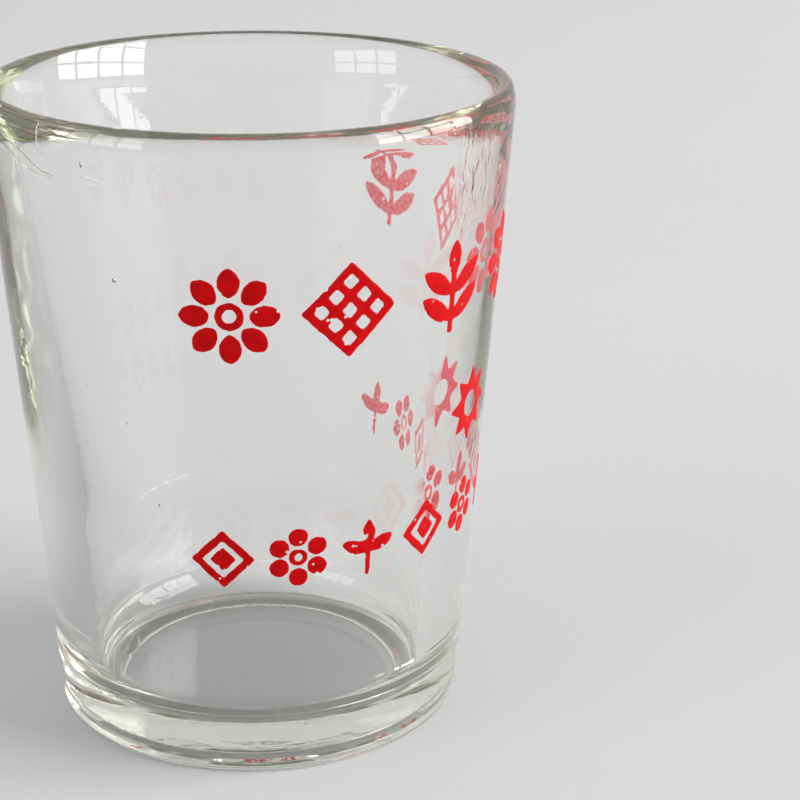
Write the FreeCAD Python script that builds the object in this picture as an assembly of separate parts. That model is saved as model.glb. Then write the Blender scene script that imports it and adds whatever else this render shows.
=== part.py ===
import FreeCAD, Part
import math
import os

# A pressed shot glass with sixteen fired enamel prints around its wall.
# The origin is the centre of the resting plane, +Z runs up the glass, and all sizes are in
# millimetres and degrees. Angles round the glass start at -Y and grow towards +X.

# Overall glass
HEIGHT = 62.0
LIP_RADIUS = 25.0
LIP_WALL = 2.0

# Outside, from the mould parting line down
PARTING_HEIGHT = 5.4
PARTING_RADIUS = 20.3
PARTING_STEP = 0.2
PARTING_STEP_HEIGHT = 0.15
HEEL_RADIUS = 19.9
HEEL_ROUND = 0.8

# Mould ring under the lip: a low step left where the top ring of the mould met the body mould
LIP_RING_DROP = 2.9
LIP_RING_STAND = 0.08
LIP_RING_WIDTH = 0.5

# Underside: a shallow recess inside the resting ring
RECESS_DEPTH = 0.6
RECESS_RADIUS = 15.0
RECESS_SLOPE = 0.3

# Inside: two cones that meet in a soft knee, then a fillet and a flat floor
KNEE_HEIGHT = 24.0
KNEE_WALL = 4.5
KNEE_ROUND = 60.0
FOOT_HEIGHT = 8.0
FOOT_WALL = 4.3
FLOOR_HEIGHT = 3.3
FLOOR_FILLET = 4.0

# Enamel
ENAMEL_THICKNESS = 0.08

UPPER_HEIGHT = 46.2
UPPER_SIZE = 8.8
UPPER_STROKE = 1.1
UPPER_ANGLES = (-5.0, 20.5, 48.5, 76.0, 106.0, 136.0)

MIDDLE_HEIGHT = 33.3
MIDDLE_SIZE = 7.8
MIDDLE_STROKE = 0.95
MIDDLE_ANGLE = 62.0

LOWER_HEIGHT = 22.8
LOWER_SIZE = 5.8
LOWER_STROKE = 0.7
LOWER_FIRST_ANGLE = -8.3
LOWER_PITCH = 17.8
LOWER_COUNT = 9

# Ornament proportions, as shares of an ornament's own half size or stroke
BLOSSOM_PETALS = 8
DAISY_PETALS = 6
PETAL_ROOT = 0.38
PETAL_CROWD = 3.6
EYE_RADIUS = 0.29
EYE_STROKE = 0.6
LATTICE_STROKE = 0.66
LEAF_LENGTH = 1.12
LEAF_WIDTH = 0.40
LEAF_LEAN = 34.0
LEAF_ROOTS = (-0.72, -0.16)
TIP_LEAF_ROOT = 0.22
STEM_TOP = 0.5
STEM_STROKE = 0.65
TREFOIL_LEANS = (15.0, 90.0, 165.0)
TREFOIL_ROOT = -0.15
TREFOIL_REACH = 0.95
TREFOIL_LEAF_WIDTH = 0.46
STAR_POINTS = 8
STAR_WAIST = 0.58
CORE_DIAMOND = 0.42

ORIGIN = FreeCAD.Vector(0.0, 0.0, 0.0)
UP = FreeCAD.Vector(0.0, 0.0, 1.0)
FULL_TURN = 360.0
QUARTER_TURN = 90.0
EXTRA = 1.0


def point(radius, height):
    """A profile point in the XZ plane."""
    return FreeCAD.Vector(radius, 0.0, height)


def wall_radius(height):
    """Outside radius of the conical wall at a height."""
    share = (height - PARTING_HEIGHT) / (HEIGHT - PARTING_HEIGHT)
    return PARTING_RADIUS + (LIP_RADIUS - PARTING_RADIUS) * share


def wall_angle():
    """Lean of the outside wall from the vertical, in radians."""
    return math.atan((LIP_RADIUS - PARTING_RADIUS) / (HEIGHT - PARTING_HEIGHT))


def polyline(points):
    """Straight edges through a list of points."""
    return [Part.LineSegment(a, b).toShape() for a, b in zip(points, points[1:])]


def arc_edge(start, through, end):
    """One arc edge through three points."""
    return Part.Arc(start, through, end).toShape()


def on_circle(centre, radius, angle):
    """Point of a profile circle, with the angle in radians from the outward direction."""
    return centre + point(radius * math.cos(angle), radius * math.sin(angle))


def rounded_corner(centre, radius, first, last):
    """Profile arc about a centre, and its two end points."""
    start = on_circle(centre, radius, first)
    middle = on_circle(centre, radius, (first + last) / 2)
    end = on_circle(centre, radius, last)
    return start, arc_edge(start, middle, end), end


def lean_between(low, high):
    """Lean of the line between two profile points from the vertical, in radians."""
    return math.atan((high.x - low.x) / (high.z - low.z))


def lip_circle():
    """Centre and radius of the rounded lip, touching the outside wall and the top plane."""
    radius = LIP_WALL / 2
    height = HEIGHT - radius
    return point(wall_radius(height) - radius / math.cos(wall_angle()), height), radius


def inner_points():
    """Corner points of the inside: at the knee and near the floor."""
    knee = point(wall_radius(KNEE_HEIGHT) - KNEE_WALL, KNEE_HEIGHT)
    foot = point(wall_radius(FOOT_HEIGHT) - FOOT_WALL, FOOT_HEIGHT)
    return knee, foot


def upper_lean(knee):
    """Lean of the inside wall above the knee, which runs up to touch the rounded lip."""
    centre, radius = lip_circle()
    reach = centre - knee
    return math.atan2(reach.x, reach.z) - math.asin(radius / reach.Length)


def knee_arc(knee, above, below):
    """Long arc that turns the upper inside cone into the steeper lower one."""
    turn = math.pi - above.getAngle(below)
    reach = KNEE_ROUND * math.tan(turn / 2)
    sag = KNEE_ROUND * (1 / math.cos(turn / 2) - 1)
    start = knee + above * reach
    end = knee + below * reach
    middle = knee + (above + below).normalize() * sag
    return start, arc_edge(start, middle, end), end


def body_profile():
    """Half section of the glass, from the underside round the outside and back to the axis."""
    knee, foot = inner_points()
    inner_lean = upper_lean(knee)
    foot_lean = lean_between(foot, knee)
    above = point(math.sin(inner_lean), math.cos(inner_lean))
    below = point(-math.sin(foot_lean), -math.cos(foot_lean))
    knee_start, knee_edge, knee_end = knee_arc(knee, above, below)

    heel_centre = point(HEEL_RADIUS - HEEL_ROUND, HEEL_ROUND)
    heel_start, heel_arc, heel_end = rounded_corner(heel_centre, HEEL_ROUND, -math.pi / 2, 0.0)

    ring_top = HEIGHT - LIP_RING_DROP
    ring_crest = ring_top - LIP_RING_WIDTH / 2
    ring_foot = ring_top - LIP_RING_WIDTH

    lip_centre, lip_radius = lip_circle()
    lip_start, lip_arc, lip_end = rounded_corner(
        lip_centre, lip_radius, -wall_angle(), math.pi - inner_lean)

    fillet_height = FLOOR_HEIGHT + FLOOR_FILLET
    line_radius = foot.x + (fillet_height - foot.z) * math.tan(foot_lean)
    fillet_centre = point(line_radius - FLOOR_FILLET / math.cos(foot_lean), fillet_height)
    fillet_start, fillet_arc, fillet_end = rounded_corner(
        fillet_centre, FLOOR_FILLET, -foot_lean, -math.pi / 2)

    step_base = PARTING_HEIGHT - PARTING_STEP_HEIGHT
    outside = [
        heel_end,
        point(PARTING_RADIUS - PARTING_STEP, step_base),
        point(PARTING_RADIUS, PARTING_HEIGHT),
        point(wall_radius(ring_foot), ring_foot),
        point(wall_radius(ring_crest) + LIP_RING_STAND, ring_crest),
        point(wall_radius(ring_top), ring_top),
        lip_start,
    ]
    underside = [
        point(0.0, RECESS_DEPTH),
        point(RECESS_RADIUS, RECESS_DEPTH),
        point(RECESS_RADIUS + RECESS_SLOPE, 0.0),
        heel_start,
    ]
    floor = [fillet_end, point(0.0, FLOOR_HEIGHT), point(0.0, RECESS_DEPTH)]

    edges = polyline(underside) + [heel_arc] + polyline(outside) + [lip_arc]
    edges += polyline([lip_end, knee_start]) + [knee_edge]
    edges += polyline([knee_end, fillet_start]) + [fillet_arc] + polyline(floor)
    return Part.Face(Part.Wire(edges))


def glass_body():
    """The pressed glass, turned from its half section."""
    return body_profile().revolve(ORIGIN, UP, FULL_TURN)


def place(along, across):
    """Point in an ornament's own plane: along the wall's turn, and up the wall."""
    return FreeCAD.Vector(along, across, 0.0)


def disc(centre, radius):
    """Round face in the ornament's plane."""
    return Part.Face(Part.Wire(Part.makeCircle(radius, centre, UP)))


def ring(centre, radius, stroke):
    """Annular face, with its outer radius and its stroke width."""
    return disc(centre, radius).cut(disc(centre, radius - stroke))


def polygon(points):
    """Flat face through corner points."""
    return Part.Face(Part.makePolygon(points + [points[0]]))


def diamond(centre, half):
    """Square standing on its corner."""
    corners = [place(half, 0), place(0, half), place(-half, 0), place(0, -half)]
    return polygon([centre + corner for corner in corners])


def leaf(root, tip, width):
    """Pointed leaf between two points, its two edges single arcs."""
    middle = (root + tip) * 0.5
    direction = (tip - root).normalize()
    side = FreeCAD.Vector(-direction.y, direction.x, 0.0) * (width / 2)
    left = Part.Arc(root, middle + side, tip).toShape()
    right = Part.Arc(tip, middle - side, root).toShape()
    return Part.Face(Part.Wire([left, right]))


def bar(start, end, stroke):
    """Straight stroke with square ends."""
    direction = (end - start).normalize()
    side = FreeCAD.Vector(-direction.y, direction.x, 0.0) * (stroke / 2)
    return polygon([start - side, end - side, end + side, start + side])


def spoke(angle, radius):
    """Point at a radius and an angle in degrees in the ornament's plane."""
    turn = math.radians(angle)
    return place(radius * math.cos(turn), radius * math.sin(turn))


def stamp(face):
    """Straight prism over a flat ornament face, long enough to pass through the enamel layer."""
    return face.extrude(UP * (LIP_RADIUS + EXTRA))


def joined_stamp(faces):
    """One prism over faces that overlap."""
    prisms = [stamp(face) for face in faces]
    return prisms[0].fuse(prisms[1:]).removeSplitter()


def blossom(half, stroke, petals=BLOSSOM_PETALS):
    """Ring of separate petals round an eye."""
    width = half * PETAL_CROWD / petals
    stamps = [stamp(ring(ORIGIN, half * EYE_RADIUS, stroke * EYE_STROKE))]
    for number in range(petals):
        angle = QUARTER_TURN + number * FULL_TURN / petals
        stamps.append(stamp(leaf(spoke(angle, half * PETAL_ROOT), spoke(angle, half), width)))
    return stamps


def daisy(half, stroke):
    """Flower with fewer and broader petals."""
    return blossom(half, stroke, DAISY_PETALS)


def lattice(half, stroke):
    """Diamond trellis of nine windows, with equal bars between them and round them."""
    bar_width = stroke * LATTICE_STROKE
    window = (half - 2 * math.sqrt(2) * bar_width) / 3
    pitch = window + bar_width / math.sqrt(2)
    frame = diamond(ORIGIN, half)
    for row in (-1, 0, 1):
        for column in (-1, 0, 1):
            centre = place((row - column) * pitch, (row + column) * pitch)
            frame = frame.cut(diamond(centre, window))
    return [stamp(frame)]


def sprig(half, stroke):
    """Upright stem with two pairs of leaves and a leaf at its tip."""
    length = half * LEAF_LENGTH
    width = half * LEAF_WIDTH
    faces = [bar(place(0, -half), place(0, half * STEM_TOP), stroke * STEM_STROKE)]
    faces.append(leaf(place(0, half * TIP_LEAF_ROOT), place(0, half), width))
    for share in LEAF_ROOTS:
        for lean in (LEAF_LEAN, 2 * QUARTER_TURN - LEAF_LEAN):
            root = place(0, half * share)
            faces.append(leaf(root, root + spoke(lean, length), width))
    return [joined_stamp(faces)]


def trefoil(half, stroke):
    """Three leaves on a short stem."""
    width = half * TREFOIL_LEAF_WIDTH
    faces = [bar(place(0, -half), ORIGIN, stroke * STEM_STROKE)]
    for lean in TREFOIL_LEANS:
        faces.append(leaf(place(0, half * TREFOIL_ROOT), spoke(lean, half * TREFOIL_REACH), width))
    return [joined_stamp(faces)]


def star(half, stroke):
    """Pointed star with a round eye."""
    corners = []
    for number in range(2 * STAR_POINTS):
        reach = half if number % 2 == 0 else half * STAR_WAIST
        corners.append(spoke(QUARTER_TURN + number * FULL_TURN / (2 * STAR_POINTS), reach))
    eye = disc(ORIGIN, half * STAR_WAIST - stroke)
    return [stamp(polygon(corners).cut(eye))]


def nested_diamond(half, stroke):
    """Diamond outline round a small solid diamond."""
    outline = diamond(ORIGIN, half).cut(diamond(ORIGIN, half - stroke * math.sqrt(2)))
    return [stamp(outline), stamp(diamond(ORIGIN, half * CORE_DIAMOND))]


def enamel_skin(angle, height, half):
    """Patch of the enamel layer on the wall, a little larger than the print it is cut for."""
    low = height - half - EXTRA
    high = height + half + EXTRA
    skin = ENAMEL_THICKNESS / math.cos(wall_angle())
    corners = [
        point(wall_radius(low), low),
        point(wall_radius(high), high),
        point(wall_radius(high) + skin, high),
        point(wall_radius(low) + skin, low),
    ]
    spread = math.degrees((half + EXTRA) / wall_radius(low))
    patch = Part.Face(Part.makePolygon(corners + [corners[0]]))
    patch.rotate(ORIGIN, UP, angle - QUARTER_TURN - spread)
    return patch.revolve(ORIGIN, UP, 2 * spread)


def enamel_print(ornament, angle, height, size, stroke):
    """One print: the ornament pushed straight out through the enamel layer."""
    half = size / 2
    skin = enamel_skin(angle, height, half)
    upright = FreeCAD.Placement(ORIGIN, FreeCAD.Rotation(FreeCAD.Vector(1, 0, 0), QUARTER_TURN))
    lifted = FreeCAD.Placement(FreeCAD.Vector(0.0, 0.0, height), FreeCAD.Rotation())
    turned = FreeCAD.Placement(ORIGIN, FreeCAD.Rotation(UP, angle))
    solids = []
    for prism in ornament(half, stroke):
        prism.Placement = turned.multiply(lifted).multiply(upright)
        solids += prism.common(skin).Solids
    return Part.makeCompound(solids)


def all_prints():
    """Name and shape of every print, row by row."""
    prints = {}
    upper_ornaments = (blossom, lattice, sprig)
    for number, angle in enumerate(UPPER_ANGLES):
        ornament = upper_ornaments[number % len(upper_ornaments)]
        name = "upper_print_%d_%s" % (number + 1, ornament.__name__)
        prints[name] = enamel_print(ornament, angle, UPPER_HEIGHT, UPPER_SIZE, UPPER_STROKE)
    prints["middle_print_star"] = enamel_print(
        star, MIDDLE_ANGLE, MIDDLE_HEIGHT, MIDDLE_SIZE, MIDDLE_STROKE)
    lower_ornaments = (nested_diamond, daisy, trefoil)
    for number in range(LOWER_COUNT):
        ornament = lower_ornaments[number % len(lower_ornaments)]
        angle = LOWER_FIRST_ANGLE + number * LOWER_PITCH
        name = "lower_print_%d_%s" % (number + 1, ornament.__name__)
        prints[name] = enamel_print(ornament, angle, LOWER_HEIGHT, LOWER_SIZE, LOWER_STROKE)
    return prints


def main():
    os.makedirs("parts", exist_ok=True)
    shapes = {"glass_body": glass_body()}
    shapes.update(all_prints())
    for name, shape in shapes.items():
        shape.exportStep("parts/%s.step" % name)
        print("%-28s %2d solids %10.4f mm3 valid %s"
              % (name, len(shape.Solids), shape.Volume, shape.isValid()))


main()
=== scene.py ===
import math

import bmesh
import bpy
import numpy as np
from mathutils import Matrix, Vector


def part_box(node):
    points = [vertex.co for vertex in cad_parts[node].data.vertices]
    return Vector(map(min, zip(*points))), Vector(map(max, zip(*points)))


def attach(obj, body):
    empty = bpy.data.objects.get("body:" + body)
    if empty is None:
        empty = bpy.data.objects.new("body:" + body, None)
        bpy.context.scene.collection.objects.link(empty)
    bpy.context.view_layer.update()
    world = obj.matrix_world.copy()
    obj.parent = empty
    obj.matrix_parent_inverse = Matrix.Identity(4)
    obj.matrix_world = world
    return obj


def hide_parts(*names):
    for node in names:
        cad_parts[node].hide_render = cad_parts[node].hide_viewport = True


# A pressed glass with red enamel fired on it. Lengths are in metres and angles in radians.
# Angles round the glass start at -Y and grow towards +X.
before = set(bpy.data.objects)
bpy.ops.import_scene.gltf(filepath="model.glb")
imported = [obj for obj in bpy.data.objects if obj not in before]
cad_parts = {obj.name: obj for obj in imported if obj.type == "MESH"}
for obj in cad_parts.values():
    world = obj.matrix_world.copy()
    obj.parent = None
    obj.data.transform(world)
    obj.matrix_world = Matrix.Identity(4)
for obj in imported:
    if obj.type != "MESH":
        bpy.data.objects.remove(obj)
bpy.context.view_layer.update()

MM = 0.001

# Height of the glass, as the frame has it
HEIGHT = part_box("glass_body")[1].z

# Outside of the glass. The lip radius is that of the wall's cone at the full height
LIP_RADIUS = 25.0 * MM
LIP_ROUND = 0.8 * MM
LIP_OUTER_SHOULDER = 4.5 * MM
LIP_OUTER_TILT = math.radians(20)
LIP_INNER_SHOULDER = 14.0 * MM
LIP_INNER_TILT = math.radians(22)
PARTING_HEIGHT = 5.4 * MM
PARTING_RADIUS = 20.3 * MM
PARTING_STEP = 0.2 * MM
PARTING_STEP_HEIGHT = 0.15 * MM
HEEL_RADIUS = 19.9 * MM
HEEL_ROUND = 0.8 * MM
RECESS_DEPTH = 0.6 * MM
RECESS_RADIUS = 15.0 * MM
RECESS_SLOPE = 0.3 * MM
RECESS_ROUND = 0.25 * MM

# Inside of the glass
KNEE_HEIGHT = 24.0 * MM
KNEE_WALL = 4.5 * MM
KNEE_ROUND = 60.0 * MM
FOOT_HEIGHT = 8.0 * MM
FOOT_WALL = 4.3 * MM
FLOOR_HEIGHT = 3.3 * MM
FLOOR_FILLET = 4.0 * MM

# Detail of the lathe. A crease step is used on runs more than CREASE_RUN times as long
SECTORS = 280
RUN_STEP = 0.85 * MM
ARC_STEP = 0.3 * MM
ARC_TURN = math.radians(7)
CREASE_STEPS = (0.02 * MM, 0.07 * MM, 0.2 * MM, 0.45 * MM)
CREASE_RUN = 2.2
BEND_STEPS = 4
SHARP = math.radians(40)

# Unevenness of the pressing: depth, and the length of its waves round and up the glass
OUTSIDE_SWELL = (0.006 * MM, 22 * MM, 30 * MM)
INSIDE_SWELL = (0.010 * MM, 18 * MM, 26 * MM)
INSIDE_RIPPLE = (0.002 * MM, 3.0 * MM, 3.6 * MM)
WALL_SWELL_RISE = 3.0 * MM
LIP_CALM = (3.4 * MM, 0.8 * MM)
FLOOR_RUN_RADIUS = 14.0 * MM
AXIS_CALM = (1.0 * MM, 9.0 * MM)
OUTSIDE_SEED = 3
INSIDE_SEED = 7
RIPPLE_SEED = 11

# Broken ring mark on the inside of the floor
FLOOR_MARK_RADIUS = 5.6 * MM
FLOOR_MARK_WIDTH = 0.5 * MM
FLOOR_MARK_DEPTH = 0.06 * MM
FLOOR_MARK_BREAKS = 7
FLOOR_MARK_LEAST = 0.6
FLOOR_MARK_SEED = 13
ON_FLOOR = 0.1 * MM

# Corners of the noise grid each way
NOISE_SIZE = 64

# Seeds in the glass: angle, height, depth under the outside, half length up the glass, half width
SEEDS = (
    (math.radians(-36.0), 58.6 * MM, 0.9 * MM, 0.26 * MM, 0.13 * MM),
    (math.radians(-30.3), 48.6 * MM, 0.8 * MM, 0.20 * MM, 0.20 * MM),
    (math.radians(-43.4), 32.2 * MM, 1.2 * MM, 0.12 * MM, 0.11 * MM),
    (math.radians(-41.5), 37.9 * MM, 1.1 * MM, 0.09 * MM, 0.08 * MM),
    (math.radians(-24.2), 27.4 * MM, 1.4 * MM, 0.13 * MM, 0.12 * MM),
    (math.radians(17.0), 2.6 * MM, 7.5 * MM, 0.10 * MM, 0.22 * MM),
    (math.radians(152.0), 39.0 * MM, 1.2 * MM, 0.14 * MM, 0.10 * MM),
    (math.radians(-128.0), 22.5 * MM, 1.7 * MM, 0.17 * MM, 0.12 * MM),
    (math.radians(-96.0), 12.0 * MM, 2.0 * MM, 0.16 * MM, 0.13 * MM),
)
SEED_SEGMENTS = 20
SEED_RINGS = 14

# Enamel: the grid it is rebuilt on, how far the ink spread, and how worn each print is
ENAMEL_THICKNESS = 0.08 * MM
ENAMEL_SUNK = 0.012 * MM
GRID = 0.07 * MM
INK_SPREAD = 0.13 * MM
INK_MARGIN = 0.6 * MM
WORN = {
    "lower_print_3_trefoil": 0.75,
    "lower_print_4_nested_diamond": 0.6,
    "upper_print_3_sprig": 0.3,
}
LIGHTLY_WORN = 0.15
INK_GAIN = 0.06
RAGGED = ((0.10, 0.75 * MM), (0.10, 0.33 * MM), (0.05, 0.16 * MM))
WEAR_WAVE = 1.3 * MM
WEAR_RANGE = (0.15, 0.8)
WEAR_DEPTH = 0.55
PINHOLES = 26
PINHOLES_UNWORN = 0.3
PINHOLE_SIZE = 0.13 * MM
PINHOLE_LEAST = 0.5
PINHOLE_DEPTH = 1.3
WET = 0.5
CUT_LIMIT = 0.12
EDGE_DEPTH = 0.45
FULL_INK = 0.42
SURFACE_GRAIN = ((0.10, 0.5 * MM), (0.06, 0.2 * MM))
RAGGED_SEED = 100
WEAR_SEED = 200
PINHOLE_SEED = 300
SURFACE_SEED = 400
# Where each noise is read, in its own waves, so that no print starts at the noise's edge
RAGGED_START = 20
WEAR_START = 9
SURFACE_START = 30

# Glass material
GLASS_TINT = (0.80, 0.815, 0.755, 1)
GLASS_TINT_DENSITY = 38.0

# Scales are waves in a metre; depths and widths are metres; angles run round the glass
PEEL_SCALE = 620.0
PEEL_DEPTH = 0.0014 * MM
GRAIN_SCALE = 1900.0
OUTSIDE_GRAIN = 0.0005 * MM
INSIDE_GRAIN = 0.0014 * MM
CORD_FROM = math.radians(-70)
CORD_BEND = math.radians(-46)
CORD_REACH = math.radians(34)
CORD_RISE = 2.4 * MM
CORD_HEIGHT = 56.3 * MM
CORD_WANDER = 1.6 * MM
CORD_WAVE = 180.0
CORD_WIDTH = 0.13 * MM
CORD_DEPTH = 0.018 * MM
FOLD_STRETCH = (1300.0, 1300.0, 330.0)
FOLD_ANGLE = math.radians(57)
FOLD_SPREAD = math.radians(9)
FOLD_HEIGHT = 56.0 * MM
FOLD_TALL = 6.0 * MM
FOLD_RANGE = (0.5, 0.66)
FOLD_DEPTH = 0.02 * MM
WRINKLE_COUNT = 42.0
WRINKLE_RUN = 260.0
WRINKLE_FROM = math.radians(140)
WRINKLE_RADIUS = 14.0 * MM
WRINKLE_REACH = 3.2 * MM
WRINKLE_DEPTH = 0.12 * MM
SCRATCH_STRETCH = (160.0, 160.0, 26.0)
SCRATCH_WIDTH = 0.004
SCRATCH_PATCH = 95.0
SCRATCH_DEPTH = 0.004 * MM
SCRATCH_RANGE = (0.60, 0.66)
WITHIN_WALL = (0.5 * MM, 1.5 * MM)
GLASS_IOR = 1.52

# Enamel material: the outer side, and the side fused to the glass
ENAMEL_DEEP = (0.420, 0.0, 0.001, 1)
ENAMEL_BRIGHT = (0.520, 0.001, 0.003, 1)
ENAMEL_THIN = (0.62, 0.07, 0.06, 1)
ENAMEL_FUSED_DEEP = (1.0, 0.14, 0.18, 1)
ENAMEL_FUSED_PALE = (1.0, 0.48, 0.52, 1)
ENAMEL_FUSED_EDGE = (1.0, 0.80, 0.81, 1)
ENAMEL_GLOW = 0.3 * MM
ENAMEL_MOTTLE = 900.0
ENAMEL_GRAIN = 2600.0
ENAMEL_GRAIN_DEPTH = 0.005 * MM
MOTTLE_RANGE = (0.3, 0.7)
THIN_UNTIL = 0.66
THIN_SHARE = 0.4
FUSED_GRAIN_RANGE = (0.35, 0.65)
FUSED_EDGE_UNTIL = 0.95
ROUGHNESS_RANGE = (0.2, 0.8)
ENAMEL_ROUGHNESS = (0.34, 0.52)
ENAMEL_SPECULAR = 0.08
ENAMEL_SUBSURFACE = 0.9
ENAMEL_GLOW_RADIUS = (1.0, 0.3, 0.3)

# Table
TABLE_DULL = (0.775, 0.78, 0.79, 1)
TABLE_PALE = (0.81, 0.81, 0.82, 1)
TABLE_CLOUD = 9.0
TABLE_ROUGHNESS = 0.55
TABLE_SPECULAR = 0.2
TABLE_GRAIN = 1500.0
TABLE_GRAIN_DEPTH = 0.01 * MM
TABLE_SIZE = 6.0
TABLE_GAP = 0.02 * MM

# The room is bright round the table and dim overhead, from one height to the other
ROOM_COLOUR = (1.0, 1.0, 1.0, 1)
ROOM_WALLS = 0.78
ROOM_CEILING = 0.28
ROOM_FADE = (0.45, 0.85)

WINDOW_DISTANCE = 2.0
WINDOW_FRAME = 0.12
# Each window: name, angle round the glass, width, sill height, height, columns, rows, power, colour
WARM_SKY = (1.0, 0.985, 0.97)
COOL_SKY = (0.93, 0.96, 1.0)
WINDOWS = (
    ("right_window", math.radians(80), 2.0, 0.10, 1.46, 4, 3, 62.0, WARM_SKY),
    ("right_window_foot", math.radians(78), 1.8, 0.012, 0.05, 5, 1, 1.3, WARM_SKY),
    ("left_window", math.radians(-62), 1.3, 0.10, 0.8, 3, 2, 9.0, COOL_SKY),
    ("left_window_foot", math.radians(-95), 1.6, 0.0, 0.024, 4, 1, 0.35, COOL_SKY),
)

# Camera: place, and turns in the order pitch down, yaw to the right, roll
CAMERA_PLACE = Vector((0.0, -0.19393, 0.10082))
CAMERA_PITCH = 0.35034
CAMERA_YAW = 0.07320
CAMERA_ROLL = 0.00558
CAMERA_LENS = 94.675
CAMERA_SENSOR = 36
CAMERA_CLIP = 0.001

# Light has to pass along the inside of the wall many times before the rim looks right
LIGHT_BOUNCES = 40

# Lean of the wall from the upright
WALL_LEAN = math.atan((LIP_RADIUS - PARTING_RADIUS) / (HEIGHT - PARTING_HEIGHT))


def wall_radius(height):
    """Outside radius of the conical wall at a height."""
    share = (height - PARTING_HEIGHT) / (HEIGHT - PARTING_HEIGHT)
    return PARTING_RADIUS + (LIP_RADIUS - PARTING_RADIUS) * share


def value_noise(across, up, seed, wrap=NOISE_SIZE):
    """Smooth noise from -1 to 1 with one wave per unit. Across, it repeats after wrap waves."""
    values = np.random.RandomState(seed).uniform(-1, 1, (wrap, NOISE_SIZE))
    column = np.floor(across).astype(int)
    row = np.floor(up).astype(int)
    s = across - column
    t = up - row
    s = s * s * (3 - 2 * s)
    t = t * t * (3 - 2 * t)

    def at(i, j):
        """Value at a neighbouring corner of the noise grid."""
        return values[(column + i) % wrap, (row + j) % NOISE_SIZE]

    low = at(0, 0) * (1 - s) + at(1, 0) * s
    high = at(0, 1) * (1 - s) + at(1, 1) * s
    return low * (1 - t) + high * t


def swell(angle, height, pattern, seed):
    """Unevenness at a place on the glass, from 0 to the pattern's depth."""
    depth, round_wave, up_wave = pattern
    waves = max(3, round(2 * math.pi * LIP_RADIUS / round_wave))
    turn = np.mod(angle, 2 * math.pi) / (2 * math.pi) * waves
    return depth * (0.5 + 0.5 * value_noise(turn, height / up_wave, seed, waves))


def outside_swell(angle, height):
    """How far the outside wall stands back from its true cone."""
    return swell(angle, height, OUTSIDE_SWELL, OUTSIDE_SEED)


# ---------------------------------------------------------------- profile of the glass

def stations(length, step):
    """Distances along a straight run, close together at both ends so that creases shade truly."""
    near = [0.0] + [s for s in CREASE_STEPS if s < length / CREASE_RUN]
    count = max(1, math.ceil((length - 2 * near[-1]) / step))
    middle = np.linspace(near[-1], length - near[-1], count + 1)[1:-1]
    return near + list(middle) + [length - s for s in reversed(near)]


def straight(start, end):
    """Profile points of a straight run, without its last point."""
    start = np.array(start)
    run = np.array(end) - start
    length = math.hypot(*run)
    return [start + run * s / length for s in stations(length, RUN_STEP)][:-1]


def curve(centre, radius, first, last):
    """Profile points of an arc, without its last point. Angles are from the outward direction."""
    turn = abs(last - first)
    count = max(math.ceil(turn * radius / ARC_STEP), math.ceil(turn / ARC_TURN))
    turns = np.linspace(first, last, count + 1)[:-1]
    return [np.array(centre) + radius * np.array([math.cos(a), math.sin(a)]) for a in turns]


def on_circle(centre, radius, angle):
    """Point of a profile circle."""
    return (centre[0] + radius * math.cos(angle), centre[1] + radius * math.sin(angle))


def underside_runs():
    """Recess, its rounded edge and the resting ring."""
    edge = (RECESS_RADIUS - RECESS_ROUND, RECESS_DEPTH - RECESS_ROUND)
    lean = math.atan(RECESS_SLOPE / RECESS_DEPTH)
    arc_end = on_circle(edge, RECESS_ROUND, lean)
    ring_inner = (arc_end[0] + arc_end[1] * math.tan(lean), 0.0)
    heel_inner = (HEEL_RADIUS - HEEL_ROUND, 0.0)
    points = straight((0.0, RECESS_DEPTH), (edge[0], RECESS_DEPTH))
    points += curve(edge, RECESS_ROUND, math.pi / 2, lean)
    points += straight(arc_end, ring_inner)
    points += straight(ring_inner, heel_inner)
    return points


def lip_centre():
    """Centre of the lip's crest: its outer shoulder touches the cone of the wall."""
    height = HEIGHT - LIP_ROUND
    turn = LIP_OUTER_TILT + WALL_LEAN
    inset = LIP_OUTER_SHOULDER - (LIP_OUTER_SHOULDER - LIP_ROUND) * math.cos(turn)
    return np.array([wall_radius(height) - inset / math.cos(WALL_LEAN), height])


def outside_runs():
    """Heel, parting line, wall and the outer shoulder of the lip."""
    heel_centre = (HEEL_RADIUS - HEEL_ROUND, HEEL_ROUND)
    step_low = (PARTING_RADIUS - PARTING_STEP, PARTING_HEIGHT - PARTING_STEP_HEIGHT)
    parting = (PARTING_RADIUS, PARTING_HEIGHT)
    shoulder = on_circle(lip_centre(), LIP_ROUND - LIP_OUTER_SHOULDER, LIP_OUTER_TILT)
    points = curve(heel_centre, HEEL_ROUND, -math.pi / 2, 0.0)
    points += straight((HEEL_RADIUS, HEEL_ROUND), step_low)
    points += straight(step_low, parting)
    points += straight(parting, on_circle(shoulder, LIP_OUTER_SHOULDER, -WALL_LEAN))
    points += curve(shoulder, LIP_OUTER_SHOULDER, -WALL_LEAN, LIP_OUTER_TILT)
    return points


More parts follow.
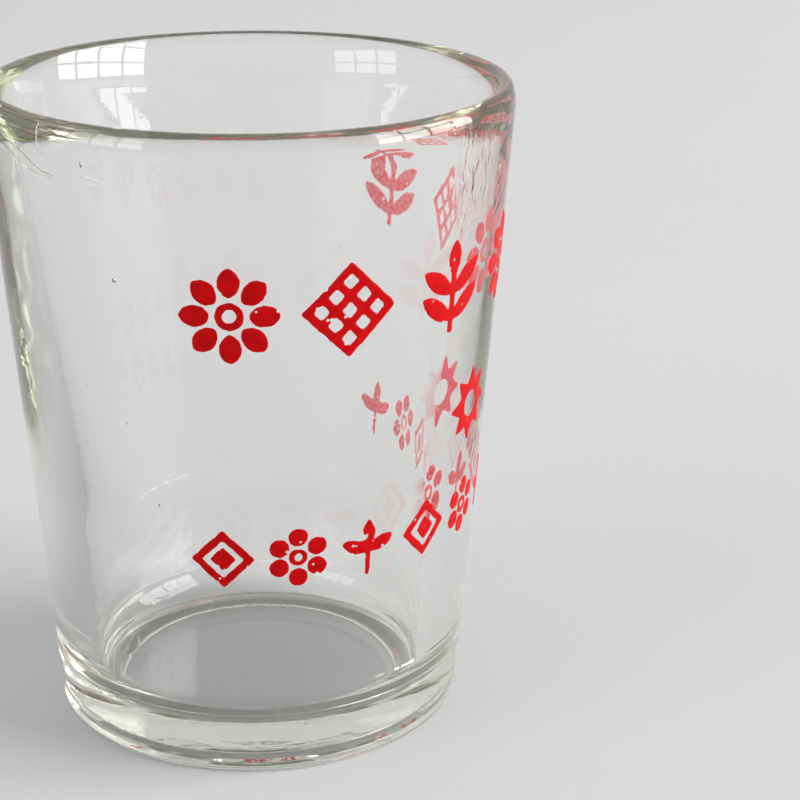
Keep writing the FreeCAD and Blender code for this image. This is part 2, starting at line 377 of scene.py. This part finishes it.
def inside_runs():
    """Crest of the lip, its inner shoulder, inside wall with its knee, floor fillet and floor."""
    crest_end = math.pi - LIP_INNER_TILT
    shoulder = on_circle(lip_centre(), LIP_ROUND - LIP_INNER_SHOULDER, crest_end)
    knee = np.array([wall_radius(KNEE_HEIGHT) - KNEE_WALL, KNEE_HEIGHT])
    foot = np.array([wall_radius(FOOT_HEIGHT) - FOOT_WALL, FOOT_HEIGHT])
    reach = np.array(shoulder) - knee
    lean = math.atan2(reach[0], reach[1]) - math.asin(LIP_INNER_SHOULDER / math.hypot(*reach))
    foot_lean = math.atan((foot[0] - knee[0]) / (foot[1] - knee[1]))
    above = np.array([math.sin(lean), math.cos(lean)])
    below = np.array([-math.sin(foot_lean), -math.cos(foot_lean)])
    knee_start = knee + above * KNEE_ROUND * math.tan((lean - foot_lean) / 2)
    knee_end = knee + below * KNEE_ROUND * math.tan((lean - foot_lean) / 2)
    fillet_height = FLOOR_HEIGHT + FLOOR_FILLET
    line_radius = foot[0] + (fillet_height - foot[1]) * math.tan(foot_lean)
    fillet_centre = (line_radius - FLOOR_FILLET / math.cos(foot_lean), fillet_height)
    fillet_start = on_circle(fillet_centre, FLOOR_FILLET, -foot_lean)
    points = curve(lip_centre(), LIP_ROUND, LIP_OUTER_TILT, crest_end)
    points += curve(shoulder, LIP_INNER_SHOULDER, crest_end, math.pi - lean)
    points += straight(on_circle(shoulder, LIP_INNER_SHOULDER, math.pi - lean), knee_start)
    points += bent(knee_start, knee, knee_end)
    points += straight(knee_end, fillet_start)
    points += curve(fillet_centre, FLOOR_FILLET, -foot_lean, -math.pi / 2)
    points += straight((fillet_centre[0], FLOOR_HEIGHT), (0.0, FLOOR_HEIGHT))
    return points


def bent(start, corner, end):
    """Profile points of a soft bend that touches both lines through a corner.

    Its last point is left to the next run.
    """
    count = max(BEND_STEPS, math.ceil(math.hypot(*(end - start)) / RUN_STEP))
    shares = np.linspace(0, 1, count + 1)[:-1]
    return [(1 - t) ** 2 * start + 2 * t * (1 - t) * corner + t ** 2 * end for t in shares]


def glass_profile():
    """Whole half section, from the axis under the glass round to the axis on its floor."""
    points = underside_runs()
    outside_from = len(points)
    points += outside_runs()
    inside_from = len(points)
    points += inside_runs()
    points.append(np.array([0.0, FLOOR_HEIGHT]))
    return np.array(points), outside_from, inside_from


# ---------------------------------------------------------------- glass mesh

def smooth_step(value, low, high):
    """0 below low, 1 above high, and a smooth rise between them."""
    share = np.clip((value - low) / (high - low), 0, 1)
    return share * share * (3 - 2 * share)


def profile_normals(profile):
    """Outward directions of the profile, in its own plane."""
    runs = np.gradient(profile, axis=0)
    normals = np.stack([runs[:, 1], -runs[:, 0]], axis=1)
    return normals / np.maximum(np.linalg.norm(normals, axis=1, keepdims=True), 1e-12)


def glass_dents(profile, outside_from, inside_from, angles):
    """How far each point of the lathe grid is pushed back into the glass."""
    rank = np.arange(len(profile))[:, None]
    radius = profile[:, 0][:, None]
    height = profile[:, 1][:, None]
    angle = angles[None, :]
    outside = (rank >= outside_from) & (rank < inside_from)
    inside = rank >= inside_from
    on_wall = smooth_step(height, PARTING_HEIGHT, PARTING_HEIGHT + WALL_SWELL_RISE)
    under_lip = 1 - smooth_step(height, HEIGHT - LIP_CALM[0], HEIGHT - LIP_CALM[1])
    dents = outside * on_wall * under_lip * outside_swell(angle, height + 0 * angle)
    travel = height + (radius < FLOOR_RUN_RADIUS) * (FLOOR_RUN_RADIUS - radius) + 0 * angle
    rough = swell(angle, travel, INSIDE_SWELL, INSIDE_SEED) + swell(angle, travel, INSIDE_RIPPLE, RIPPLE_SEED)
    off_axis = smooth_step(radius, *AXIS_CALM)
    dents = dents + inside * under_lip * off_axis * rough
    mark = np.exp(-((radius - FLOOR_MARK_RADIUS) / FLOOR_MARK_WIDTH) ** 2)
    turn = angle / (2 * math.pi) * FLOOR_MARK_BREAKS
    broken = value_noise(turn, 0 * radius + 0.5, FLOOR_MARK_SEED, FLOOR_MARK_BREAKS)
    broken = FLOOR_MARK_LEAST + (1 - FLOOR_MARK_LEAST) * broken
    on_floor = inside & (height < FLOOR_HEIGHT + ON_FLOOR)
    return dents + on_floor * mark * FLOOR_MARK_DEPTH * broken


def lathe(profile, dents, angles):
    """Vertices and faces of the turned glass, with one vertex at each end of the profile."""
    normals = profile_normals(profile)
    vertices = []
    for number, (radius, height) in enumerate(profile):
        if radius < 1e-9:
            vertices.append((0.0, 0.0, height))
            continue
        for angle, dent in zip(angles, dents[number]):
            r = radius - normals[number, 0] * dent
            vertices.append((r * math.sin(angle), -r * math.cos(angle), height - normals[number, 1] * dent))
    faces = []
    last = len(profile) - 1
    for number in range(last):
        first = 1 + (number - 1) * SECTORS
        for k in range(SECTORS):
            after = (k + 1) % SECTORS
            if number == 0:
                faces.append((0, 1 + after, 1 + k))
            elif number == last - 1:
                faces.append((first + k, first + after, len(vertices) - 1))
            else:
                faces.append((first + k, first + after, first + SECTORS + after, first + SECTORS + k))
    return vertices, faces


def seed_bubble(shape, angle, height, depth, half_length, half_width):
    """Adds a small bubble to the glass: a closed skin that faces the hollow inside it."""
    radius = wall_radius(height) - depth
    centre = Vector((radius * math.sin(angle), -radius * math.cos(angle), height))
    stretch = Matrix.Diagonal((half_width, half_width, half_length, 1.0))
    placed = Matrix.Translation(centre) @ Matrix.Rotation(angle, 4, "Z") @ stretch
    top = shape.verts.new(placed @ Vector((0, 0, 1)))
    bottom = shape.verts.new(placed @ Vector((0, 0, -1)))
    rings = []
    for row in range(1, SEED_RINGS):
        tilt = math.pi * row / SEED_RINGS
        ring = []
        for column in range(SEED_SEGMENTS):
            turn = 2 * math.pi * column / SEED_SEGMENTS
            level = Vector((math.sin(turn), math.cos(turn), 0)) * math.sin(tilt)
            ring.append(shape.verts.new(placed @ (level + Vector((0, 0, math.cos(tilt))))))
        rings.append(ring)
    for column in range(SEED_SEGMENTS):
        after = (column + 1) % SEED_SEGMENTS
        shape.faces.new((top, rings[0][column], rings[0][after]))
        for upper, lower in zip(rings, rings[1:]):
            shape.faces.new((upper[column], lower[column], lower[after], upper[after]))
        shape.faces.new((bottom, rings[-1][after], rings[-1][column]))


def new_piece(name, mesh, replaced):
    """Object for a mesh that rides on the glass and stands for CAD nodes."""
    piece = bpy.data.objects.new(name, mesh)
    bpy.context.scene.collection.objects.link(piece)
    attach(piece, "root")
    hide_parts(replaced)
    return piece


def smooth_mesh(mesh):
    """Smooth shading, with creases kept."""
    mesh.polygons.foreach_set("use_smooth", [True] * len(mesh.polygons))
    mesh.set_sharp_from_angle(angle=SHARP)


def make_glass(material):
    """The pressed glass with its unevenness, floor mark and seeds."""
    profile, outside_from, inside_from = glass_profile()
    angles = np.arange(SECTORS) * 2 * math.pi / SECTORS
    dents = glass_dents(profile, outside_from, inside_from, angles)
    vertices, faces = lathe(profile, dents, angles)
    mesh = bpy.data.meshes.new("pressed_glass")
    mesh.from_pydata(vertices, [], faces)
    shape = bmesh.new()
    shape.from_mesh(mesh)
    bmesh.ops.recalc_face_normals(shape, faces=shape.faces)
    for seed in SEEDS:
        seed_bubble(shape, *seed)
    shape.to_mesh(mesh)
    shape.free()
    smooth_mesh(mesh)
    mesh.materials.append(material)
    return new_piece("pressed_glass", mesh, "glass_body")


# ---------------------------------------------------------------- enamel meshes

def flat_triangles(node):
    """Outer skin of a print unrolled to the plane: distance round the wall, and height."""
    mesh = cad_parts[node].data
    mesh.calc_loop_triangles()
    places = np.array([vertex.co for vertex in mesh.vertices])
    corners = np.array([triangle.vertices for triangle in mesh.loop_triangles])
    radius = np.hypot(places[:, 0], places[:, 1])
    stand = (radius - wall_radius(places[:, 2])) * math.cos(WALL_LEAN)
    middle_height = (places[:, 2].min() + places[:, 2].max()) / 2
    roll = wall_radius(middle_height)
    towards = places.mean(axis=0)
    middle = math.atan2(towards[0], -towards[1])
    angle = np.arctan2(places[:, 0], -places[:, 1])
    angle = middle + np.mod(angle - middle + math.pi, 2 * math.pi) - math.pi
    flat = np.stack([(angle - middle) * roll, places[:, 2] - middle_height], axis=1)
    outer = (stand[corners] > ENAMEL_THICKNESS / 2).all(axis=1)
    return flat[corners[outer]], middle, middle_height, roll


def ink_cover(triangles, low, shape, pitch):
    """1 on each grid place that lies in one of the flat triangles, 0 elsewhere."""
    cover = np.zeros(shape)
    for a, b, c in triangles:
        corners = np.array([a, b, c])
        first = np.maximum(np.floor((corners.min(axis=0) - low) / pitch).astype(int), 0)
        last = np.ceil((corners.max(axis=0) - low) / pitch).astype(int) + 1
        x = low[0] + np.arange(first[0], last[0])[:, None] * pitch
        y = low[1] + np.arange(first[1], last[1])[None, :] * pitch
        inside = np.ones((last[0] - first[0], last[1] - first[1]), bool)
        turn = (b[0] - a[0]) * (c[1] - a[1]) - (b[1] - a[1]) * (c[0] - a[0])
        for p, q in ((a, b), (b, c), (c, a)):
            side = (q[0] - p[0]) * (y - p[1]) - (q[1] - p[1]) * (x - p[0])
            inside &= side * turn >= 0
        cover[first[0]:last[0], first[1]:last[1]][inside] = 1.0
    return cover


def spread(cover, pitch):
    """Cover softened the way wet ink spreads."""
    across = np.fft.fftfreq(cover.shape[0], pitch)[:, None]
    up = np.fft.rfftfreq(cover.shape[1], pitch)[None, :]
    soften = np.exp(-2 * (math.pi * INK_SPREAD) ** 2 * (across ** 2 + up ** 2))
    return np.fft.irfft2(np.fft.rfft2(cover) * soften, cover.shape)


def ink_field(node, number):
    """Ink depth over a grid round one print: above WET, there is enamel."""
    triangles, middle, middle_height, roll = flat_triangles(node)
    low = triangles.min(axis=(0, 1)) - INK_MARGIN
    high = triangles.max(axis=(0, 1)) + INK_MARGIN
    fine = GRID / 2
    shape = tuple(np.ceil((high - low) / GRID).astype(int) * 2)
    field = spread(ink_cover(triangles, low, shape, fine), fine)[::2, ::2]
    x = low[0] + np.arange(field.shape[0])[:, None] * GRID
    y = low[1] + np.arange(field.shape[1])[None, :] * GRID
    x, y = x + 0 * y, y + 0 * x
    field = field + INK_GAIN
    for depth, wave in RAGGED:
        noise = value_noise(x / wave + RAGGED_START, y / wave + RAGGED_START, RAGGED_SEED + number)
        field = field + depth * noise
    wear = WORN.get(node, LIGHTLY_WORN)
    noise = value_noise(x / WEAR_WAVE + WEAR_START, y / WEAR_WAVE + WEAR_START, WEAR_SEED + number)
    field = field - wear * WEAR_DEPTH * smooth_step(noise, *WEAR_RANGE)
    chance = np.random.RandomState(PINHOLE_SEED + number)
    for _ in range(round(PINHOLES * (PINHOLES_UNWORN + wear))):
        hole = low + chance.uniform(0, 1, 2) * (high - low)
        size = PINHOLE_SIZE * (PINHOLE_LEAST + chance.uniform(0, 1) * (PINHOLE_LEAST + wear))
        away = np.hypot(x - hole[0], y - hole[1]) / size
        field = field - PINHOLE_DEPTH * np.exp(-away ** 2)
    return field, low, middle, middle_height, roll


def outline_cells(field):
    """Grid cells with ink, cut along the outline.

    Gives the vertices' places in grid units, the polygons, and the edges along the rim.
    """
    places = []
    index = {}
    polygons = []
    rims = []

    def vertex(key, place):
        """Number of the vertex with this key, made at its first use."""
        if key not in index:
            index[key] = len(places)
            places.append(place)
        return index[key]

    wet = field > WET
    busy = wet[:-1, :-1] | wet[1:, :-1] | wet[1:, 1:] | wet[:-1, 1:]
    for i, j in zip(*np.nonzero(busy)):
        corners = ((i, j), (i + 1, j), (i + 1, j + 1), (i, j + 1))
        polygon = []
        cuts = []
        for a, b in zip(corners, corners[1:] + corners[:1]):
            if wet[a]:
                polygon.append(vertex(a, a))
            if wet[a] != wet[b]:
                share = (WET - field[a]) / (field[b] - field[a])
                share = min(max(share, CUT_LIMIT), 1 - CUT_LIMIT)
                place = (a[0] + share * (b[0] - a[0]), a[1] + share * (b[1] - a[1]))
                polygon.append(vertex((min(a, b), max(a, b)), place))
                cuts.append((len(polygon) - 1, wet[a]))
        polygons.append(polygon)
        for position, leaving in cuts:
            if leaving:
                rims.append((polygon[position], polygon[(position + 1) % len(polygon)]))
    return np.array(places, float), polygons, rims


def sample(field, places):
    """Field values between the grid's places."""
    low = np.floor(places).astype(int)
    low = np.minimum(low, np.array(field.shape) - 2)
    s, t = (places - low).T
    i, j = low.T
    bottom = field[i, j] * (1 - s) + field[i + 1, j] * s
    top = field[i, j + 1] * (1 - s) + field[i + 1, j + 1] * s
    return bottom * (1 - t) + top * t


def make_print(node, number, material):
    """One enamel print: a thin layer with a soft, slightly ragged edge, sunk into the glass."""
    field, low, middle, middle_height, roll = ink_field(node, number)
    places, polygons, rims = outline_cells(field)
    depth = sample(field, places)
    flat = low + places * GRID
    angle = middle + flat[:, 0] / roll
    height = middle_height + flat[:, 1]
    body = EDGE_DEPTH + (1 - EDGE_DEPTH) * smooth_step(depth, WET, WET + FULL_INK)
    for share, wave in SURFACE_GRAIN:
        across, up = (flat / wave + SURFACE_START).T
        body = body * (1 - share + share * value_noise(across, up, SURFACE_SEED + number))
    surface = wall_radius(height) - outside_swell(angle, height) / math.cos(WALL_LEAN)
    vertices = []
    for radius in (surface + ENAMEL_THICKNESS * body, surface - ENAMEL_SUNK):
        vertices += list(zip(radius * np.sin(angle), -radius * np.cos(angle), height))
    under = len(places)
    faces = [tuple(polygon) for polygon in polygons]
    faces += [tuple(under + corner for corner in reversed(polygon)) for polygon in polygons]
    faces += [(b, a, under + a, under + b) for a, b in rims]
    mesh = bpy.data.meshes.new(node + "_enamel")
    mesh.from_pydata(vertices, [], faces)
    cover = mesh.attributes.new("ink_cover", "FLOAT", "POINT")
    cover.data.foreach_set("value", np.concatenate([depth, depth]))
    fused = mesh.attributes.new("fused_side", "FLOAT", "POINT")
    fused.data.foreach_set("value", np.repeat([0.0, 1.0], under))
    smooth_mesh(mesh)
    mesh.materials.append(material)
    return new_piece(node + "_enamel", mesh, node)


# ---------------------------------------------------------------- materials

class Nodes:
    """Short way to write a node tree: each call adds one node and returns its output."""

    def __init__(self, tree):
        """Works on one node tree."""
        self.tree = tree

    def add(self, kind, **settings):
        """New node of a kind, with its settings."""
        node = self.tree.nodes.new(kind)
        for name, value in settings.items():
            setattr(node, name, value)
        return node

    def feed(self, socket, value):
        """Links another node's output to a socket, or sets the socket's own value."""
        if isinstance(value, bpy.types.NodeSocket):
            self.tree.links.new(value, socket)
        else:
            socket.default_value = value

    def math(self, operation, *values, clamp=False):
        """Result of a math operation."""
        node = self.add("ShaderNodeMath", operation=operation, use_clamp=clamp)
        for socket, value in zip(node.inputs, values):
            self.feed(socket, value)
        return node.outputs[0]

    def noise(self, place, scale, detail=2.0, roughness=0.5):
        """Noise, about 0 to 1."""
        node = self.add("ShaderNodeTexNoise")
        self.feed(node.inputs["Vector"], place)
        node.inputs["Scale"].default_value = scale
        node.inputs["Detail"].default_value = detail
        node.inputs["Roughness"].default_value = roughness
        return node.outputs["Fac"]

    def stretch(self, place, scale):
        """Place multiplied by a scale for each axis."""
        node = self.add("ShaderNodeVectorMath", operation="MULTIPLY")
        self.feed(node.inputs[0], place)
        node.inputs[1].default_value = scale
        return node.outputs[0]

    def ramp(self, value, low, high, to_low=0.0, to_high=1.0):
        """Smooth change from one value to another, and flat beyond."""
        node = self.add("ShaderNodeMapRange", interpolation_type="SMOOTHSTEP")
        self.feed(node.inputs["Value"], value)
        ends = {"From Min": low, "From Max": high, "To Min": to_low, "To Max": to_high}
        for name, number in ends.items():
            node.inputs[name].default_value = number
        return node.outputs["Result"]

    def mix(self, share, first, second):
        """Colour between two, by share."""
        node = self.add("ShaderNodeMix", data_type="RGBA")
        self.feed(node.inputs["Factor"], share)
        self.feed(node.inputs["A"], first)
        self.feed(node.inputs["B"], second)
        return node.outputs["Result"]

    def bump(self, height, shader):
        """Height in metres, straight to a shader's normal."""
        node = self.add("ShaderNodeBump")
        node.inputs["Strength"].default_value = 1.0
        node.inputs["Distance"].default_value = 1.0
        self.feed(node.inputs["Height"], height)
        self.feed(shader.inputs["Normal"], node.outputs["Normal"])


def new_material(name):
    """Material with a Principled shader: the node helper, the shader, and the object's own coordinates."""
    material = bpy.data.materials.new(name)
    material.use_nodes = True
    nodes = Nodes(material.node_tree)
    shader = material.node_tree.nodes["Principled BSDF"]
    place = nodes.add("ShaderNodeTexCoord").outputs["Object"]
    return material, nodes, shader, place


def near(nodes, value, middle, reach):
    """1 where a value is at the middle, falling to 0 at its reach on either side."""
    away = nodes.math("ABSOLUTE", nodes.math("SUBTRACT", value, middle))
    return nodes.ramp(away, 0.0, reach, 1.0, 0.0)


def pressing_marks(nodes, place):
    """Height of the glass's small marks, in metres.

    They are skin texture, a cord line, folds, wrinkles and scratches.
    """
    split = nodes.add("ShaderNodeSeparateXYZ")
    nodes.feed(split.inputs[0], place)
    x, y, height = split.outputs
    angle = nodes.math("ARCTAN2", x, nodes.math("MULTIPLY", y, -1.0))
    square = nodes.math("ADD", nodes.math("POWER", x, 2.0), nodes.math("POWER", y, 2.0))
    radius = nodes.math("SQRT", square)
    skin = nodes.math("MULTIPLY", nodes.noise(place, PEEL_SCALE, 1.5), PEEL_DEPTH)
    slope = (LIP_RADIUS - PARTING_RADIUS) / (HEIGHT - PARTING_HEIGHT)
    cone = nodes.math("MULTIPLY_ADD", height, slope, PARTING_RADIUS - slope * PARTING_HEIGHT)
    depth = nodes.math("SUBTRACT", cone, radius)
    within = nodes.ramp(depth, *WITHIN_WALL, OUTSIDE_GRAIN, INSIDE_GRAIN)
    grain = nodes.math("MULTIPLY", nodes.noise(place, GRAIN_SCALE, 1.0), within)
    total = nodes.math("ADD", skin, grain)

    wander = nodes.math("MULTIPLY", nodes.noise(place, CORD_WAVE, 2.0), CORD_WANDER)
    rise = nodes.ramp(angle, CORD_FROM, CORD_BEND, CORD_RISE, 0.0)
    level = nodes.math("ADD", nodes.math("ADD", rise, wander), CORD_HEIGHT)
    line = near(nodes, nodes.math("SUBTRACT", height, level), 0.0, CORD_WIDTH)
    cord = nodes.math("MULTIPLY", line, near(nodes, angle, CORD_BEND, CORD_REACH))
    total = nodes.math("ADD", total, nodes.math("MULTIPLY", cord, CORD_DEPTH))

    folds = nodes.ramp(nodes.noise(nodes.stretch(place, FOLD_STRETCH), 1.0, 2.0), *FOLD_RANGE)
    beside = near(nodes, angle, FOLD_ANGLE, FOLD_SPREAD)
    zone = nodes.math("MULTIPLY", beside, near(nodes, height, FOLD_HEIGHT, FOLD_TALL))
    folds = nodes.math("MULTIPLY", nodes.math("MULTIPLY", folds, zone), FOLD_DEPTH)
    total = nodes.math("ADD", total, folds)

    fan = nodes.add("ShaderNodeCombineXYZ")
    nodes.feed(fan.inputs[0], nodes.math("MULTIPLY", angle, WRINKLE_COUNT))
    nodes.feed(fan.inputs[1], nodes.math("MULTIPLY", radius, WRINKLE_RUN))
    behind = nodes.math("ABSOLUTE", angle)
    corner = near(nodes, radius, WRINKLE_RADIUS, WRINKLE_REACH)
    corner = nodes.math("MULTIPLY", nodes.ramp(behind, WRINKLE_FROM, math.pi), corner)
    wrinkles = nodes.math("MULTIPLY", nodes.noise(fan.outputs[0], 1.0, 2.0), corner)
    total = nodes.math("ADD", total, nodes.math("MULTIPLY", wrinkles, WRINKLE_DEPTH))

    streaks = nodes.noise(nodes.stretch(place, SCRATCH_STRETCH), 1.0, 0.0)
    lines = near(nodes, streaks, 0.5, SCRATCH_WIDTH)
    rare = nodes.ramp(nodes.noise(place, SCRATCH_PATCH, 1.0), *SCRATCH_RANGE)
    scratches = nodes.math("MULTIPLY", nodes.math("MULTIPLY", lines, rare), -SCRATCH_DEPTH)
    return nodes.math("ADD", total, scratches)


def glass_material():
    """Clear pressed glass, faintly green in its depth, with the small marks of pressing and use."""
    material, nodes, shader, place = new_material("pressed_glass")
    shader.inputs["Base Color"].default_value = (1.0, 1.0, 1.0, 1)
    shader.inputs["Transmission Weight"].default_value = 1.0
    shader.inputs["Roughness"].default_value = 0.0
    shader.inputs["IOR"].default_value = GLASS_IOR
    tint = nodes.add("ShaderNodeVolumeAbsorption")
    tint.inputs["Color"].default_value = GLASS_TINT
    tint.inputs["Density"].default_value = GLASS_TINT_DENSITY
    output = material.node_tree.nodes["Material Output"]
    material.node_tree.links.new(tint.outputs[0], output.inputs["Volume"])
    nodes.bump(pressing_marks(nodes, place), shader)
    return material


def enamel_material():
    """Fired red enamel: mottled, and a little lighter where it is thin.

    The side fused to the glass is pale and grainy, and palest along the outline.
    """
    material, nodes, shader, place = new_material("fired_enamel")
    cover = nodes.add("ShaderNodeAttribute", attribute_name="ink_cover").outputs["Fac"]
    fused = nodes.add("ShaderNodeAttribute", attribute_name="fused_side").outputs["Fac"]
    grain = nodes.noise(place, ENAMEL_GRAIN, 3.0)
    mottle = nodes.ramp(nodes.noise(place, ENAMEL_MOTTLE, 3.0), *MOTTLE_RANGE)
    body = nodes.mix(mottle, ENAMEL_DEEP, ENAMEL_BRIGHT)
    thin = nodes.ramp(cover, WET, THIN_UNTIL, THIN_SHARE, 0.0)
    outer = nodes.mix(thin, body, ENAMEL_THIN)
    inner = nodes.mix(nodes.ramp(grain, *FUSED_GRAIN_RANGE), ENAMEL_FUSED_PALE, ENAMEL_FUSED_DEEP)
    inner = nodes.mix(nodes.ramp(cover, WET, FUSED_EDGE_UNTIL, 1.0, 0.0), inner, ENAMEL_FUSED_EDGE)
    nodes.feed(shader.inputs["Base Color"], nodes.mix(fused, outer, inner))
    nodes.feed(shader.inputs["Roughness"], nodes.ramp(grain, *ROUGHNESS_RANGE, *ENAMEL_ROUGHNESS))
    shader.inputs["Specular IOR Level"].default_value = ENAMEL_SPECULAR
    shader.inputs["Subsurface Weight"].default_value = ENAMEL_SUBSURFACE
    shader.inputs["Subsurface Radius"].default_value = ENAMEL_GLOW_RADIUS
    shader.inputs["Subsurface Scale"].default_value = ENAMEL_GLOW
    nodes.bump(nodes.math("MULTIPLY", grain, ENAMEL_GRAIN_DEPTH), shader)
    return material


def table_material():
    """Pale painted board."""
    material, nodes, shader, place = new_material("pale_board")
    cloud = nodes.noise(place, TABLE_CLOUD, detail=4.0)
    nodes.feed(shader.inputs["Base Color"], nodes.mix(cloud, TABLE_DULL, TABLE_PALE))
    shader.inputs["Roughness"].default_value = TABLE_ROUGHNESS
    shader.inputs["Specular IOR Level"].default_value = TABLE_SPECULAR
    grain = nodes.noise(place, TABLE_GRAIN, detail=3.0)
    nodes.bump(nodes.math("MULTIPLY", grain, TABLE_GRAIN_DEPTH), shader)
    return material


# ---------------------------------------------------------------- table, light and camera

def make_table():
    """Flat table just under the glass."""
    mesh = bpy.data.meshes.new("table")
    half = TABLE_SIZE / 2
    sides = ((-half, -half), (half, -half), (half, half), (-half, half))
    mesh.from_pydata([(x, y, -TABLE_GAP) for x, y in sides], [], [(0, 1, 2, 3)])
    mesh.materials.append(table_material())
    table = bpy.data.objects.new("table", mesh)
    bpy.context.scene.collection.objects.link(table)


def area_light(name, place, aim, width, height, power, colour):
    """Rectangular light at a place, facing another."""
    lamp = bpy.data.lights.new(name, "AREA")
    lamp.shape = "RECTANGLE"
    lamp.size = width
    lamp.size_y = height
    lamp.energy = power
    lamp.color = colour
    light = bpy.data.objects.new(name, lamp)
    bpy.context.scene.collection.objects.link(light)
    light.location = place
    light.rotation_euler = (Vector(aim) - Vector(place)).to_track_quat("-Z", "Y").to_euler()


def window(name, angle, width, sill, height, columns, rows, power, colour):
    """Window of separate panes that stands upright and faces the glass."""
    out = Vector((math.sin(angle), -math.cos(angle), 0.0))
    along = Vector((math.cos(angle), math.sin(angle), 0.0))
    pane_width = width / columns
    pane_height = height / rows
    for row in range(rows):
        for column in range(columns):
            shift = (column + 0.5) * pane_width - width / 2
            level = sill + (row + 0.5) * pane_height
            place = out * WINDOW_DISTANCE + along * shift + Vector((0, 0, level))
            pane = "%s_pane_%d_%d" % (name, row, column)
            clear_width = pane_width * (1 - WINDOW_FRAME)
            clear_height = pane_height * (1 - WINDOW_FRAME)
            share = power / (rows * columns)
            area_light(pane, place, place - out, clear_width, clear_height, share, colour)


def make_world():
    """Soft pale room, dimmer overhead."""
    world = bpy.data.worlds.new("room")
    bpy.context.scene.world = world
    world.use_nodes = True
    nodes = Nodes(world.node_tree)
    split = nodes.add("ShaderNodeSeparateXYZ")
    nodes.feed(split.inputs[0], nodes.add("ShaderNodeTexCoord").outputs["Generated"])
    background = world.node_tree.nodes["Background"]
    background.inputs["Color"].default_value = ROOM_COLOUR
    strength = nodes.ramp(split.outputs[2], *ROOM_FADE, ROOM_WALLS, ROOM_CEILING)
    nodes.feed(background.inputs["Strength"], strength)


def make_camera():
    """Camera at the photograph's place and angle."""
    ahead = math.cos(CAMERA_PITCH)
    forward = Vector((math.sin(CAMERA_YAW) * ahead, math.cos(CAMERA_YAW) * ahead, -math.sin(CAMERA_PITCH)))
    level = Vector((math.cos(CAMERA_YAW), -math.sin(CAMERA_YAW), 0))
    above = level.cross(forward)
    right = math.cos(CAMERA_ROLL) * level + math.sin(CAMERA_ROLL) * above
    up = math.cos(CAMERA_ROLL) * above - math.sin(CAMERA_ROLL) * level
    axes = Matrix((right, up, -forward)).transposed().to_4x4()
    data = bpy.data.cameras.new("camera")
    data.sensor_width = CAMERA_SENSOR
    data.lens = CAMERA_LENS
    data.clip_start = CAMERA_CLIP
    camera = bpy.data.objects.new("camera", data)
    bpy.context.scene.collection.objects.link(camera)
    camera.matrix_world = Matrix.Translation(CAMERA_PLACE) @ axes
    bpy.context.scene.camera = camera


make_camera()
make_table()
for values in WINDOWS:
    window(*values)
make_world()
make_glass(glass_material())
enamel = enamel_material()
for number, node in enumerate(sorted(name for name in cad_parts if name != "glass_body")):
    make_print(node, number, enamel)
scene = bpy.context.scene
scene.view_settings.view_transform = "Standard"
scene.cycles.max_bounces = LIGHT_BOUNCES
scene.cycles.transmission_bounces = LIGHT_BOUNCES
scene.cycles.glossy_bounces = LIGHT_BOUNCES
